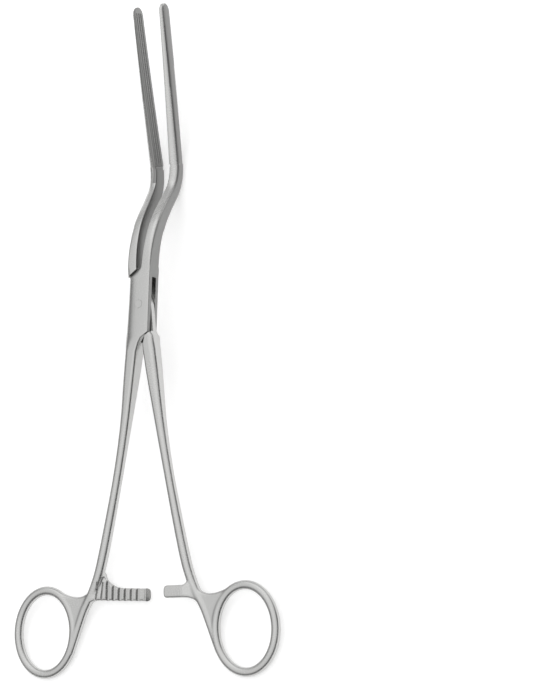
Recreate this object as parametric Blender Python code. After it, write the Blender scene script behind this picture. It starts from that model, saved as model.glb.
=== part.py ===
"""Ring-handled intestinal clamp with a box lock, a ratchet and bayonet jaws, lying on a table.

Each half is drawn closed, about the pin: X across, Y towards the tips, Z up out of the box lock's face.
The box half has its shank at -X and its jaw at +X, and the tongue half is the other way round. The halves
are then turned apart about the pin, and the whole clamp is tilted until jaws and rings meet the table.
"""

import math

import bmesh
import bpy
from mathutils import Matrix, Vector

MM = 0.001

# Opening between the halves as the clamp lies, and the side gap of each half when it is closed
REST_OPENING = math.radians(5.2)
SIDE_GAP = 0.35 * MM

# Box lock
BOX_WIDTH = 8.9 * MM
BOX_THICKNESS = 6.7 * MM
BOX_EDGE = 0.45 * MM
BOX_ROLL = 2.3 * MM  # outer edge radius where the shank runs into the lock, fading out along the lock
SHOULDER_REACH = 13.5 * MM  # from the pin to each slanted shoulder, along the clamp
SHOULDER_SLANT = math.radians(33.3)
SHOULDER_GAP = 0.18 * MM
TONGUE_THICKNESS = 2.2 * MM
TONGUE_SIDE_GAP = 0.25 * MM
SLOT_CLEARANCE = 0.3 * MM
SLOT_REACH = 14.1 * MM
SLOT_SLANT = math.radians(40.0)
PIN_DIAMETER = 3.2 * MM
PIN_CLEARANCE = 0.2 * MM

# Shank: distance behind the pin, distance from the middle, half width, half depth, outer and inner radius
SHANK_ROWS = (
    (17.7 * MM, 3.43 * MM, 2.70 * MM, 3.25 * MM, 2.30 * MM, 0.90 * MM),
    (26.8 * MM, 4.20 * MM, 2.60 * MM, 3.00 * MM, 2.30 * MM, 1.20 * MM),
    (45.0 * MM, 5.83 * MM, 2.12 * MM, 2.25 * MM, 2.07 * MM, 1.65 * MM),
    (63.0 * MM, 8.16 * MM, 1.90 * MM, 1.92 * MM, 1.86 * MM, 1.80 * MM),
    (81.4 * MM, 11.20 * MM, 1.98 * MM, 1.98 * MM, 1.93 * MM, 1.93 * MM),
    (97.0 * MM, 14.15 * MM, 2.08 * MM, 2.08 * MM, 2.03 * MM, 2.03 * MM),
    (103.5 * MM, 15.90 * MM, 2.02 * MM, 2.02 * MM, 1.97 * MM, 1.97 * MM),
    (109.5 * MM, 18.35 * MM, 1.88 * MM, 1.90 * MM, 1.83 * MM, 1.83 * MM),
    (114.6 * MM, 21.10 * MM, 1.80 * MM, 1.80 * MM, 1.75 * MM, 1.75 * MM),
    (120.5 * MM, 23.30 * MM, 1.75 * MM, 1.75 * MM, 1.70 * MM, 1.70 * MM),
    (131.5 * MM, 27.00 * MM, 1.60 * MM, 1.60 * MM, 1.55 * MM, 1.55 * MM),
)
SHANK_STATIONS = 26

# Finger ring: centre, half axes of the middle of its band, and the flat web that joins it to the shank
RING_BACK = 123.9 * MM
RING_NEAR_SIDE = 25.8 * MM  # from the middle of the clamp to the band's near side
RING_HALF_WIDTH = 12.65 * MM
RING_HALF_LENGTH = 15.75 * MM
RING_BAND_DIAMETER = 3.6 * MM
RING_SEGMENTS = 52
WEB_THICKNESS = 2.7 * MM
WEB_SAG = 6.0 * MM  # how far the web's rim dips between the shank and the top of the ring

# Ratchet
ARM_BACK = 109.0 * MM
ARM_HEIGHT = 4.9 * MM
ARM_DEPTH = 2.5 * MM
ARM_CORNER = 1.3 * MM
LONG_ARM_FILLETS = ((5.5 * MM, 4.5 * MM), (9.5 * MM, 6.0 * MM))
SHORT_ARM_FILLETS = ((6.5 * MM, 5.5 * MM), (2.0 * MM, 1.6 * MM))
LONG_ARM_SLANT = math.radians(2.0)
LONG_ARM_TIP = 6.9 * MM  # past the middle, with the clamp closed
SHORT_ARM_TIP = -5.2 * MM  # short of the middle
TOOTH_PITCH = 2.7 * MM
TOOTH_DEPTH = 0.85 * MM
TOOTH_RUN = 0.15 * MM  # clearance of each arm's crests from the middle plane
PLAIN_TIP = 2.9 * MM
LONG_ARM_TEETH = 8
SHORT_ARM_TEETH = 3

# Bayonet stem: two bends about X with a straight slope between them
STEM_START = 12.2 * MM
LOWER_BEND_RADIUS = 41.0 * MM
UPPER_BEND_RADIUS = 16.0 * MM
STEM_LEAD = 2.8 * MM  # length of the first bend that lies within the box lock's shoulders
STEM_SLOPE = math.radians(35.9)
STEM_STRAIGHT = 10.2 * MM
JAW_TILT = math.radians(10.5)
MILL_END = 0.36  # share of the stem along which the lock's corner is milled away, up to the round bar
MILL_RADIUS = 1.9 * MM
STEM_WIDTH = 3.95 * MM
ELBOW_WIDTH = 3.6 * MM
ELBOW_HALF_DEPTH = 2.95 * MM

# Jaws
JAW_LENGTH = 62.0 * MM
JAW_BASE_WIDTH = 3.35 * MM
JAW_TIP_WIDTH = 1.6 * MM
JAW_BASE_HALF_DEPTH = 3.0 * MM
JAW_TIP_HALF_DEPTH = 3.0 * MM
BITE_GAP_BASE = 0.5 * MM
BITE_GAP_TIP = 0.22 * MM
BITE_BOW = 0.2 * MM
RECESS_DEPTH = 0.35 * MM
RECESS_LENGTH = 1.0 * MM
ROW_SPACING = 1.45 * MM
ROW_WIDTH = 0.6 * MM
ROW_PITCH = 0.7 * MM
ROW_ROOT = 0.08 * MM
ROW_CREST = 0.28 * MM
ROW_LEAD = 0.12 * MM  # plain face left at the recess, and at the jaw's tip
ROW_INSET = 1.9 * MM
TONGUE_JAW_ROWS = (-1, 0, 1)
BOX_JAW_ROWS = (-0.5, 0.5)

CORNER_POINTS = 5
STEEL = (0.55, 0.55, 0.54, 1.0)

LOWER_BEND = LOWER_BEND_RADIUS * STEM_SLOPE
UPPER_BEND = UPPER_BEND_RADIUS * (STEM_SLOPE + JAW_TILT)
STEM_LENGTH = LOWER_BEND + STEM_STRAIGHT + UPPER_BEND
RING_OUT = RING_NEAR_SIDE + RING_HALF_WIDTH


def clear_scene():
    for item in list(bpy.data.objects):
        bpy.data.objects.remove(item, do_unlink=True)


def make_collection(name):
    collection = bpy.data.collections.new(name)
    bpy.context.scene.collection.children.link(collection)
    return collection


def steel_material(name, roughness):
    material = bpy.data.materials.new(name)
    material.use_nodes = True
    shader = material.node_tree.nodes["Principled BSDF"]
    shader.inputs["Base Color"].default_value = STEEL
    shader.inputs["Metallic"].default_value = 1.0
    shader.inputs["Roughness"].default_value = roughness
    material.diffuse_color = STEEL
    return material


def add_object(name, mesh, collection):
    thing = bpy.data.objects.new(name, mesh)
    collection.objects.link(thing)
    return thing


def mesh_from_bmesh(name, shape):
    bmesh.ops.recalc_face_normals(shape, faces=shape.faces[:])
    if shape.calc_volume(signed=True) < 0:
        bmesh.ops.reverse_faces(shape, faces=shape.faces[:])
    mesh = bpy.data.meshes.new(name)
    shape.to_mesh(mesh)
    shape.free()
    return mesh


def interpolate(rows, at):
    """The row at this first value, on a smooth curve through all the rows."""
    last = len(rows) - 2
    place = next((i for i in range(last) if at < rows[i + 1][0]), last)
    start, end = rows[place], rows[place + 1]
    before = rows[max(place - 1, 0)]
    after = rows[min(place + 2, len(rows) - 1)]
    span = end[0] - start[0]
    t = (at - start[0]) / span
    found = [at]
    for column in range(1, len(start)):
        slope_in = (end[column] - before[column]) / (end[0] - before[0]) * span
        slope_out = (after[column] - start[column]) / (after[0] - start[0]) * span
        found.append(
            (2 * t**3 - 3 * t**2 + 1) * start[column]
            + (t**3 - 2 * t**2 + t) * slope_in
            + (3 * t**2 - 2 * t**3) * end[column]
            + (t**3 - t**2) * slope_out
        )
    return found


def straight_between(rows, at):
    """The row at this first value, on straight lines through all the rows."""
    start, end = next((pair for pair in zip(rows, rows[1:]) if at <= pair[1][0]), rows[-2:])
    share = (at - start[0]) / (end[0] - start[0])
    return [low + (high - low) * share for low, high in zip(start, end)]


def section(centre, across, upright, low, high, depth, low_radius, high_radius):
    """Corner points of a rounded rectangle that runs from low to high across, and depth up and down."""
    limit = 0.98 * min((high - low) / 2, depth)
    corners = (
        (high, depth, min(high_radius, limit), 0.0),
        (low, depth, min(low_radius, limit), 0.5 * math.pi),
        (low, -depth, min(low_radius, limit), math.pi),
        (high, -depth, min(high_radius, limit), 1.5 * math.pi),
    )
    points = []
    for side, height, radius, start in corners:
        middle_side = side - math.copysign(radius, side - (low + high) / 2)
        middle_height = height - math.copysign(radius, height)
        for step in range(CORNER_POINTS):
            angle = start + 0.5 * math.pi * step / (CORNER_POINTS - 1)
            points.append(
                centre
                + across * (middle_side + radius * math.cos(angle))
                + upright * (middle_height + radius * math.sin(angle))
            )
    return points


def loft(name, sections, mirrored):
    shape = bmesh.new()
    side = -1 if mirrored else 1
    rings = [[shape.verts.new((side * p.x, p.y, p.z)) for p in points] for points in sections]
    for lower, upper in zip(rings, rings[1:]):
        for i in range(len(lower)):
            j = (i + 1) % len(lower)
            shape.faces.new((lower[i], lower[j], upper[j], upper[i]))
    shape.faces.new(rings[0])
    shape.faces.new(rings[-1])
    return mesh_from_bmesh(name, shape)


def prism(name, outline, low, high, mirrored=False):
    """A flat outline in X and Y, extruded from low to high in Z."""
    shape = bmesh.new()
    side = -1 if mirrored else 1
    base = shape.faces.new([shape.verts.new((side * x, y, low)) for x, y in outline])
    grown = bmesh.ops.extrude_face_region(shape, geom=[base])
    corners = [item for item in grown["geom"] if isinstance(item, bmesh.types.BMVert)]
    bmesh.ops.translate(shape, verts=corners, vec=(0, 0, high - low))
    return mesh_from_bmesh(name, shape)


def shank_sections():
    sections = []
    first, last = SHANK_ROWS[-1][0], SHANK_ROWS[0][0]
    for step in range(SHANK_STATIONS + 1):
        back = first + (last - first) * step / SHANK_STATIONS
        _, out, half_width, half_depth, outer, inner = interpolate(SHANK_ROWS, back)
        ahead = interpolate(SHANK_ROWS, back - 0.1 * MM)
        along = Vector((out - ahead[1], 0.1 * MM, 0)).normalized()
        across = along.cross(Vector((0, 0, 1)))
        centre = Vector((-out, -back, 0))
        sections.append(
            section(centre, across, Vector((0, 0, 1)), -half_width, half_width, half_depth, outer, inner)
        )
    return sections


def flat_section(y, low, high, edge=BOX_EDGE, outer=BOX_EDGE):
    """A section of the box lock, square across the clamp, with its own radius on the outer edge."""
    centre = Vector((0, y, 0))
    return section(centre, Vector((1, 0, 0)), Vector((0, 0, 1)), low, high, BOX_THICKNESS / 2, outer, edge)


def shoulder_y(x, side):
    return side * SHOULDER_REACH + x * math.tan(SHOULDER_SLANT)


def box_sections():
    half = BOX_WIDTH / 2
    lower_inner, upper_inner = 1.45 * MM, SIDE_GAP
    low_end = shoulder_y(lower_inner, -1)
    return [
        flat_section(low_end - 2.0 * MM, -half - 1.55 * MM, lower_inner - 1.15 * MM, 0.6 * MM, BOX_ROLL),
        flat_section(low_end, -half - 1.45 * MM, lower_inner, BOX_EDGE, BOX_ROLL),
        flat_section(shoulder_y(half, -1), -half - 1.0 * MM, half, BOX_EDGE, 0.85 * BOX_ROLL),
        flat_section(0, -half - 0.3 * MM, half, BOX_EDGE, 0.4 * BOX_ROLL),
        flat_section(shoulder_y(-half, 1), -half, half),
        flat_section(shoulder_y(upper_inner, 1), upper_inner, half + 0.1 * MM),
    ]


def tongue_sections():
    half = BOX_WIDTH / 2 - TONGUE_SIDE_GAP
    inner = SIDE_GAP
    low_end, high_end = shoulder_y(inner, -1), shoulder_y(inner, 1)
    full = BOX_WIDTH / 2
    run, step = 0.5843 * BOX_WIDTH, 0.4494 * BOX_WIDTH
    return [
        flat_section(low_end - 2.0 * MM, -full - 1.4 * MM, -2.4 * inner, 0.6 * MM, BOX_ROLL),
        flat_section(low_end + 0.8 * MM, -full - 1.15 * MM, -5.2 * inner, BOX_EDGE, BOX_ROLL),
        flat_section(shoulder_y(-half, -1) + run, -full - 0.2 * MM, half - step, BOX_EDGE, 0.85 * BOX_ROLL),
        flat_section(-0.5 * MM, -half, half - 0.15 * MM),
        flat_section(0.5 * MM, -half + 0.15 * MM, half),
        flat_section(shoulder_y(half, 1) - run, step - half, full),
        flat_section(high_end, inner, full + 0.1 * MM),
    ]


def stem_path(s):
    """Point and heading of the stem's middle line, at length s from its start at the box lock."""
    if s <= LOWER_BEND:
        turn = max(s, 0) / LOWER_BEND_RADIUS
        y = STEM_START + LOWER_BEND_RADIUS * math.sin(turn) + min(s, 0)
        return y, -LOWER_BEND_RADIUS * (1 - math.cos(turn)), -turn
    y, z, _ = stem_path(LOWER_BEND)
    run = min(s - LOWER_BEND, STEM_STRAIGHT)
    y += run * math.cos(STEM_SLOPE)
    z -= run * math.sin(STEM_SLOPE)
    if s <= LOWER_BEND + STEM_STRAIGHT:
        return y, z, -STEM_SLOPE
    heading = min((s - LOWER_BEND - STEM_STRAIGHT) / UPPER_BEND_RADIUS - STEM_SLOPE, JAW_TILT)
    y += UPPER_BEND_RADIUS * (math.sin(heading) + math.sin(STEM_SLOPE))
    z += UPPER_BEND_RADIUS * (math.cos(STEM_SLOPE) - math.cos(heading))
    run = max(s - STEM_LENGTH, 0)
    return y + run * math.cos(JAW_TILT), z + run * math.sin(JAW_TILT), heading


def bite_plane(s):
    """Distance of the smooth bite face from the middle, bowed so that the tips meet first."""
    share = min(max((s - STEM_LENGTH) / JAW_LENGTH, 0), 1)
    return BITE_GAP_BASE + (BITE_GAP_TIP - BITE_GAP_BASE) * share + 4 * BITE_BOW * share * (1 - share)


def stem_section(s, low, high, depth, low_radius, high_radius):
    y, z, heading = stem_path(s)
    centre = Vector((0, y, z))
    upright = Vector((0, -math.sin(heading), math.cos(heading)))
    return section(centre, Vector((1, 0, 0)), upright, low, high, depth, low_radius, high_radius)


def stem_sections():
    half = BOX_WIDTH / 2
    plain = BOX_THICKNESS / 2 - 0.15 * MM
    rows = (
        (0.0, SIDE_GAP, half - SIDE_GAP, BOX_THICKNESS / 2, 0.5 * MM),
        (MILL_END * STEM_LENGTH, SIDE_GAP, STEM_WIDTH, plain, MILL_RADIUS),
        ((MILL_END + 0.02) * STEM_LENGTH, SIDE_GAP, STEM_WIDTH, plain, 1.1 * MM),
        (0.6 * STEM_LENGTH, SIDE_GAP, ELBOW_WIDTH, ELBOW_HALF_DEPTH, 1.2 * MM),
        (STEM_LENGTH, BITE_GAP_BASE, ELBOW_WIDTH, ELBOW_HALF_DEPTH, 1.6 * MM),
    )
    last = STEM_LENGTH - 2 * RECESS_LENGTH
    mill_end, bar_start = rows[1][0], rows[2][0]
    stations = [STEM_LEAD + (mill_end - STEM_LEAD) * step / 6 for step in range(7)]
    stations += [bar_start + (last - bar_start) * step / 10 for step in range(11)]
    sections = []
    for s in stations:
        _, low, width, depth, radius = straight_between(rows, s)
        sections.append(stem_section(s, low, low + width, depth, 0.5 * MM, radius))
    for offset, recess in ((-1.3, 0), (-1.15, 1), (-0.15, 1)):
        s = STEM_LENGTH + offset * RECESS_LENGTH
        low = BITE_GAP_BASE + recess * RECESS_DEPTH
        high = BITE_GAP_BASE + ELBOW_WIDTH
        sections.append(stem_section(s, low, high, ELBOW_HALF_DEPTH, 0.3 * MM, 1.6 * MM))
    return sections


def jaw_sections():
    sections = []
    steps = 9
    round_end = JAW_TIP_HALF_DEPTH
    for step in range(steps + 1):
        share = step / steps * (1 - round_end / JAW_LENGTH)
        width = JAW_BASE_WIDTH + (JAW_TIP_WIDTH - JAW_BASE_WIDTH) * share
        depth = JAW_BASE_HALF_DEPTH + (JAW_TIP_HALF_DEPTH - JAW_BASE_HALF_DEPTH) * share
        s = STEM_LENGTH + share * JAW_LENGTH
        low = bite_plane(s)
        sections.append(stem_section(s, low, low + width, depth, 0.3 * MM, 0.82 * width))
    for degrees in (25, 45, 62, 77):
        swing = math.radians(degrees)
        s = STEM_LENGTH + JAW_LENGTH - round_end * (1 - math.sin(swing))
        low = bite_plane(s)
        width = JAW_TIP_WIDTH * (0.45 + 0.55 * math.cos(swing))
        sections.append(stem_section(s, low, low + width, depth * math.cos(swing), 0.3 * MM, 0.82 * width))
    return sections


def toothed_row(name, offset, mirrored):
    """A ridge of fine teeth along the bite face, with its foot sunk in the jaw."""
    start, end = STEM_LENGTH + ROW_LEAD, STEM_LENGTH + JAW_LENGTH - ROW_INSET
    count = int((end - start) / ROW_PITCH)
    profile = []
    for tooth in range(count):
        s = start + tooth * ROW_PITCH
        profile.append((bite_plane(s) - ROW_ROOT, s))
        profile.append((bite_plane(s) - ROW_CREST, s + ROW_PITCH / 2))
    end = start + count * ROW_PITCH
    profile.append((bite_plane(end) - ROW_ROOT, end))
    foot = BITE_GAP_BASE + BITE_BOW + 0.4 * MM
    profile += [(foot, end), (foot, start)]
    flat = [(x, s - STEM_LENGTH) for x, s in profile]
    mesh = prism(name, flat, -ROW_WIDTH / 2, ROW_WIDTH / 2, mirrored)
    y, z, heading = stem_path(STEM_LENGTH)
    place = Matrix.Translation((0, y, z)) @ Matrix.Rotation(heading, 4, "X")
    mesh.transform(place @ Matrix.Translation((0, 0, offset * ROW_SPACING)))
    return mesh


def ring_mesh(name, mirrored):
    """The finger ring's round band, as a bevelled curve made a mesh."""
    curve = bpy.data.curves.new(name, "CURVE")
    curve.dimensions = "3D"
    curve.bevel_depth = RING_BAND_DIAMETER / 2
    curve.bevel_resolution = 4
    line = curve.splines.new("POLY")
    line.points.add(RING_SEGMENTS - 1)
    side = 1 if mirrored else -1
    for i, point in enumerate(line.points):
        angle = 2 * math.pi * i / RING_SEGMENTS
        x = side * (RING_OUT + RING_HALF_WIDTH * math.cos(angle))
        point.co = (x, -RING_BACK + RING_HALF_LENGTH * math.sin(angle), 0, 1)
    line.use_cyclic_u = True
    guide = bpy.data.objects.new(name, curve)
    bpy.context.scene.collection.objects.link(guide)
    bpy.context.view_layer.update()
    mesh = bpy.data.meshes.new_from_object(guide.evaluated_get(bpy.context.evaluated_depsgraph_get()))
    bpy.data.objects.remove(guide)
    shape = bmesh.new()
    shape.from_mesh(mesh)
    bpy.data.meshes.remove(mesh)
    bmesh.ops.remove_doubles(shape, verts=shape.verts[:], dist=0.001 * MM)
    return mesh_from_bmesh(name, shape)


def web_outline():
    """The flat web between shank and ring, in the shank's own -X."""
    top_back, top_out = 99.5 * MM, interpolate(SHANK_ROWS, 99.5 * MM)[1] + 1.7 * MM
    rim_out, rim_back = RING_OUT - 0.27 * RING_HALF_WIDTH, RING_BACK - 1.06 * RING_HALF_LENGTH
    start, end = Vector((top_out, top_back)), Vector((rim_out, rim_back))
    lean = start + Vector((1.3 * MM, WEB_SAG * 2.3))
    reach = end + Vector((0.457 * (top_out - rim_out), WEB_SAG * 0.65))
    outline = []
    for step in range(13):
        t = step / 12
        point = (1 - t)**3 * start + 3 * t * (1 - t)**2 * lean + 3 * t**2 * (1 - t) * reach + t**3 * end
        outline.append(point)
    for degrees in range(112, 209, 12):
        angle = math.radians(degrees)
        outline.append(Vector((
            RING_OUT + RING_HALF_WIDTH * math.cos(angle), RING_BACK - RING_HALF_LENGTH * math.sin(angle)
        )))
    for back in (126.0 * MM, 120.0 * MM, 114.0 * MM, 108.0 * MM, 103.0 * MM):
        outline.append(Vector((interpolate(SHANK_ROWS, back)[1], back)))
    return [(-point.x, -point.y) for point in outline]


def arm_outline(tip, lower, upper):
    """Plan of a ratchet arm from inside the shank to its tip. Each root fillet has a reach and a rise."""
    outline = []
    for (reach, rise), side in ((lower, -1), (upper, 1)):
        edge = -ARM_BACK + side * ARM_HEIGHT / 2
        _, out, half_width, _, _, _ = interpolate(SHANK_ROWS, -(edge + side * rise))
        start = half_width - out - 0.35 * MM
        fillet = []
        for degrees in (90, 68, 45, 22, 0):
            angle = math.radians(degrees)
            fillet.append((start + reach * (1 - math.sin(angle)), edge + side * rise * (1 - math.cos(angle))))
        corner = ARM_CORNER
        for degrees in (90, 60, 30, 0):
            angle = math.radians(degrees)
            fillet.append((tip - corner + corner * math.cos(angle), edge - side * corner * (1 - math.sin(angle))))
        outline += fillet if side < 0 else fillet[::-1]
    outline.append((-interpolate(SHANK_ROWS, ARM_BACK)[1] - 1.1 * MM, -ARM_BACK))
    return outline


def arm_profile(tip, teeth, first_tooth_end):
    """Toothed side view of an arm in X and Z: crests just below the middle plane, a plain back."""
    root = -interpolate(SHANK_ROWS, ARM_BACK)[1] - 4.0 * MM
    crest, valley = -TOOTH_RUN, -TOOTH_RUN - TOOTH_DEPTH
    profile = [(root, -TOOTH_RUN - ARM_DEPTH), (tip + 1.0 * MM, -TOOTH_RUN - ARM_DEPTH)]
    profile.append((tip + 1.0 * MM, valley + 0.25 * TOOTH_DEPTH))
    for tooth in range(teeth):
        high = tip - first_tooth_end - tooth * TOOTH_PITCH
        profile.append((high + 0.12 * TOOTH_PITCH, valley))
        profile.append((high, crest))
        profile.append((high - 0.18 * TOOTH_PITCH, crest))
    profile.append((tip - first_tooth_end - teeth * TOOTH_PITCH + 0.12 * TOOTH_PITCH, valley))
    profile.append((root, valley))
    return profile


def arm_tool(name, tip, teeth, slant, fillets, mirrored, collection):
    """Ratchet arm: its plan and its toothed side view, each extruded, and what they share."""
    plan = prism(name + "_plan", arm_outline(tip, *fillets), -BOX_THICKNESS, BOX_THICKNESS)
    profile = arm_profile(tip, teeth, PLAIN_TIP)
    side = prism(name + "_side", profile, -ARM_BACK - 3 * ARM_HEIGHT, -ARM_BACK + 3 * ARM_HEIGHT)
    side.transform(Matrix(((1, 0, 0, 0), (0, 0, 1, 0), (0, 1, 0, 0), (0, 0, 0, 1))))
    side.flip_normals()
    root = Vector((-interpolate(SHANK_ROWS, ARM_BACK)[1], -ARM_BACK, 0))
    level = Matrix.Translation(root) @ Matrix.Rotation(REST_OPENING / 2 - slant, 4, "Z") @ Matrix.Translation(-root)
    flip = Matrix.Diagonal((-1, 1, -1, 1)) if mirrored else Matrix.Identity(4)
    for mesh in (plan, side):
        mesh.transform(flip @ level)
    tool = add_object(name, plan, collection)
    keep = add_object(name + "_teeth", side, collection)
    add_boolean(tool, keep, "INTERSECT")
    return tool


def add_boolean(target, tool, operation):
    modifier = target.modifiers.new(tool.name, "BOOLEAN")
    modifier.operation = operation
    modifier.object = tool
    tool.parent = target
    tool.hide_render = True
    tool.display_type = "WIRE"


def strip_outline(reach, slant, wide):
    """A band across the clamp, within reach of the pin along Y and slanted."""
    rise = wide * math.tan(slant)
    return [(-wide, -reach - rise), (wide, -reach + rise), (wide, reach + rise), (-wide, reach - rise)]


def pin_cylinder(name, radius, length):
    shape = bmesh.new()
    bmesh.ops.create_cone(
        shape, cap_ends=True, segments=40, radius1=radius, radius2=radius, depth=length
    )
    return mesh_from_bmesh(name, shape)


def finish_half(half, material):
    half.data.materials.append(material)
    half.data.shade_smooth()
    half.data.set_sharp_from_angle(angle=math.radians(35))


def milled_recesses(name):
    """What is milled off both faces of the tongue, up to the slanted shoulders."""
    outline = strip_outline(SHOULDER_REACH + SHOULDER_GAP, SHOULDER_SLANT, 4 * BOX_WIDTH)
    shape = bmesh.new()
    for low, high in ((TONGUE_THICKNESS / 2, 2 * BOX_THICKNESS), (-2 * BOX_THICKNESS, -TONGUE_THICKNESS / 2)):
        side = prism(name, outline, low, high)
        shape.from_mesh(side)
        bpy.data.meshes.remove(side)
    return mesh_from_bmesh(name, shape)


def tongue_slot(name):
    """The slot through the box, open at both sides, with room for the tongue to swing."""
    half_height = TONGUE_THICKNESS / 2 + SLOT_CLEARANCE
    return prism(name, strip_outline(SLOT_REACH, -SLOT_SLANT, 4 * BOX_WIDTH), -half_height, half_height)


def make_half(name, middle, lock_cut, rows, arm, mirrored, parts, tools):
    """One forging: handle ring, shank, lock section, bayonet stem and jaw."""
    body = loft(name, shank_sections() + middle + stem_sections() + jaw_sections(), mirrored)
    half = add_object(name, body, parts)
    add_boolean(half, add_object(lock_cut.name, lock_cut, tools), "DIFFERENCE")
    hole = pin_cylinder(name + "_pin_hole", PIN_DIAMETER / 2 + PIN_CLEARANCE, 2 * BOX_THICKNESS)
    add_boolean(half, add_object(name + "_pin_hole", hole, tools), "DIFFERENCE")
    web = prism(name + "_web", web_outline(), -WEB_THICKNESS / 2, WEB_THICKNESS / 2, mirrored)
    add_boolean(half, add_object(name + "_web", web, tools), "UNION")
    add_boolean(half, add_object(name + "_ring", ring_mesh(name + "_ring", mirrored), tools), "UNION")
    add_boolean(half, arm_tool(name + "_arm", *arm, mirrored, tools), "UNION")
    for number, offset in enumerate(rows):
        row = toothed_row(f"{name}_row_{number + 1}", offset, mirrored)
        add_boolean(half, add_object(f"{name}_row_{number + 1}", row, tools), "UNION")
    return half


def main():
    clear_scene()
    parts = make_collection("intestinal_clamp")
    tools = make_collection("cutters")
    satin = steel_material("satin_steel", 0.38)
    box_half = make_half(
        "box_half", box_sections(), tongue_slot("slot"), BOX_JAW_ROWS,
        (LONG_ARM_TIP, LONG_ARM_TEETH, LONG_ARM_SLANT, LONG_ARM_FILLETS), False, parts, tools,
    )
    tongue_half = make_half(
        "tongue_half", tongue_sections(), milled_recesses("recesses"), TONGUE_JAW_ROWS,
        (SHORT_ARM_TIP, SHORT_ARM_TEETH, 0.0, SHORT_ARM_FILLETS), True, parts, tools,
    )
    pin = add_object("pivot_pin", pin_cylinder("pivot_pin", PIN_DIAMETER / 2, BOX_THICKNESS), parts)
    for thing in (box_half, tongue_half, pin):
        finish_half(thing, satin)
    box_half.rotation_euler.z = -REST_OPENING / 2
    pin.rotation_euler.z = -REST_OPENING / 2
    tongue_half.rotation_euler.z = REST_OPENING / 2
    lay_down([box_half, tongue_half, pin])


def world_points(things):
    bpy.context.view_layer.update()
    graph = bpy.context.evaluated_depsgraph_get()
    points = []
    for thing in things:
        shown = thing.evaluated_get(graph)
        mesh = shown.to_mesh()
        points += [shown.matrix_world @ vertex.co for vertex in mesh.vertices]
        shown.to_mesh_clear()
    return points


def lay_down(things):
    """Tilts the clamp about X until its jaws and its rings both touch the table, and centres it there."""
    points = world_points(things)
    low, high = 0.0, math.radians(20)
    for _ in range(40):
        tilt = (low + high) / 2
        heights = [(p.y, p.z * math.cos(tilt) + p.y * math.sin(tilt)) for p in points]
        jaws = min(z for y, z in heights if y > 0)
        rings = min(z for y, z in heights if y < 0)
        if jaws < rings:
            low = tilt
        else:
            high = tilt
    turn = Matrix.Rotation(tilt, 4, "X")
    turned = [turn @ p for p in points]
    middle = [(min(p[i] for p in turned) + max(p[i] for p in turned)) / 2 for i in range(2)]
    table = bpy.data.objects.new("lying_frame", None)
    bpy.context.scene.collection.objects.link(table)
    table.rotation_euler.x = tilt
    table.location = (-middle[0], -middle[1], -min(p.z for p in turned))
    for thing in things:
        thing.parent = table


main()
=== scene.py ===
import math

import bmesh
import bpy
from mathutils import Matrix, Vector


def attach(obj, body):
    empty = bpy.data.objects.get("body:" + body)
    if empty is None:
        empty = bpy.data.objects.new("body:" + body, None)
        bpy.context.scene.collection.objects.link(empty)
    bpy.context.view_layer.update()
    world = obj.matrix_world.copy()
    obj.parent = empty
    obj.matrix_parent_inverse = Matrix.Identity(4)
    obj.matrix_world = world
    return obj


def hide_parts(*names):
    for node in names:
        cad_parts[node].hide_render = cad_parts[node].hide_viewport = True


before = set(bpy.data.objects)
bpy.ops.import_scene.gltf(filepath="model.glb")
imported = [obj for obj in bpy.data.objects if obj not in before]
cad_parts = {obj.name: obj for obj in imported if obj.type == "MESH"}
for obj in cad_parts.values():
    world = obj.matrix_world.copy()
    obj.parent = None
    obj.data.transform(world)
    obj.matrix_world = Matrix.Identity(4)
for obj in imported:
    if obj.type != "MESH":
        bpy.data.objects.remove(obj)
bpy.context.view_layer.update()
mm = 0.001
sideways, upward = Vector((1, 0, 0)), Vector((0, 0, 1))

# How the clamp lies: the middle of its pin, its tilt, and how far each half is turned from closed
lying = {"pin": (0.0, 10.62142849 * mm, 14.71169472 * mm), "tilt": 5.381256, "halfOpen": 2.6}

# Studio: a white table that the camera and the steel see a little brighter, and one large soft light
studio = {
    "tableSize": 60.0,
    "tableColour": (0.9, 0.9, 0.9, 1.0),
    "tableLift": 0.44,
    "softboxPlace": (0.05, 0.10, 1.25),
    "softboxSize": 1.2,
    "softboxPower": 0.6,
}

# The room is bright overhead and a little to the right, dim at its sides, with a window at the far end
room = {
    "lightSide": (0.05, 0.08, 0.99),
    "dimAt": 0.30,
    "brightAt": 0.78,
    "sideSpan": 0.9,
    "left": 0.38,
    "right": 0.06,
    "bright": 1.18,
    "windowFrom": 0.30,
    "windowTo": 0.85,
    "window": 0.55,
}

camera = {
    "place": (0.502404, -0.202725, 0.768999),
    "right": (0.865414, 0.038586, -0.499570),
    "up": (0.075500, 0.975604, 0.206145),
    "back": (0.495337, -0.216119, 0.841388),
    "lens": 161.24,
    "sensor": 36.0,
    "nearest": 0.01,
}


def deselectAll():
    if bpy.context.mode != "OBJECT":
        bpy.ops.object.mode_set(mode="OBJECT")
    bpy.ops.object.select_all(action="DESELECT")


def pick(piece, *others):
    deselectAll()
    for thing in (piece, *others):
        thing.select_set(True)
    bpy.context.view_layer.objects.active = piece


def applyPlace(piece):
    pick(piece)
    bpy.ops.object.transform_apply(location=True, rotation=True, scale=True)


def editPiece(piece, kind, action):
    pick(piece)
    bpy.ops.object.mode_set(mode="EDIT")
    bpy.ops.mesh.select_mode(type=kind)
    bpy.ops.mesh.select_all(action=action)


def closeFacingOut():
    bpy.ops.mesh.select_all(action="SELECT")
    bpy.ops.mesh.normals_make_consistent(inside=False)
    bpy.ops.object.mode_set(mode="OBJECT")


# A socket takes either a number or the output of another node
def plug(tree, socket, value):
    if isinstance(value, bpy.types.NodeSocket):
        tree.links.new(value, socket)
    else:
        socket.default_value = value


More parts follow.
